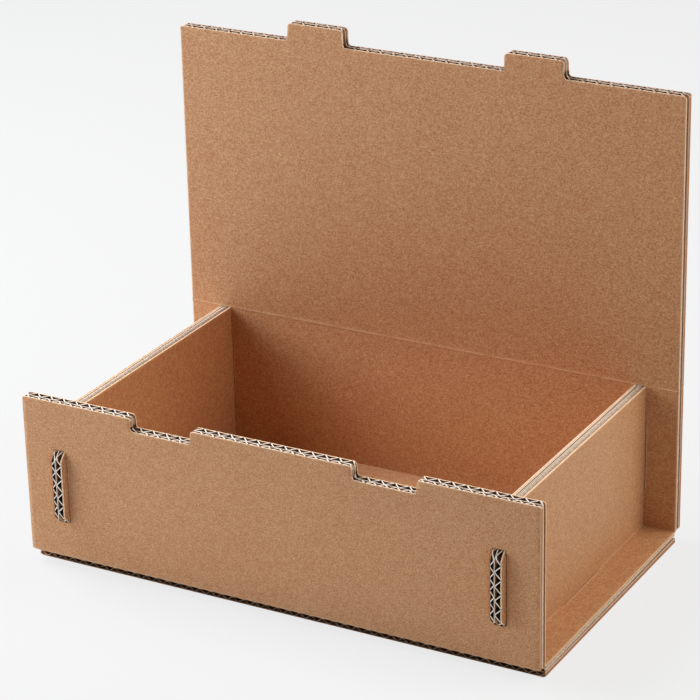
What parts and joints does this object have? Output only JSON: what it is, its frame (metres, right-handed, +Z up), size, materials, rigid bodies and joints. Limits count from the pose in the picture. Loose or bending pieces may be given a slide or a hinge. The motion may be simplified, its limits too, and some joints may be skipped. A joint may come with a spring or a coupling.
{
  "type": "corrugated mailer box",
  "caption": "Open mailer box of double-wall corrugated board: a folded blank with a hinged tabbed lid, and slotted-in side panels.",
  "frame": {"origin": "middle of the base's underside, at the centre of the bounding box", "axes": "+Z up, the front panel faces -Y, the lid is hinged along X at the back"},
  "size_m": [0.3, 0.1852, 0.2612],
  "materials": {
    "kraft_board": "matt kraft liner, pale recycled fluting on the cut edges",
    "lid_board": "matt kraft liner, pale recycled fluting on the cut edges",
    "side_board": "matt kraft liner, pale recycled fluting on the cut edges"
  },
  "bodies": {
    "box": {"box_blank": "kraft_board", "left_side_panel": "side_board", "right_side_panel": "side_board"},
    "lid": {"lid": "lid_board"}
  },
  "joints": [
    {"name": "lid_hinge", "type": "hinge", "parent": "box", "child": "lid", "pos_m": [0, 0.0815, 0.0891], "axis": [1, 0, 0], "range_deg": [0, 90]}
  ]
}
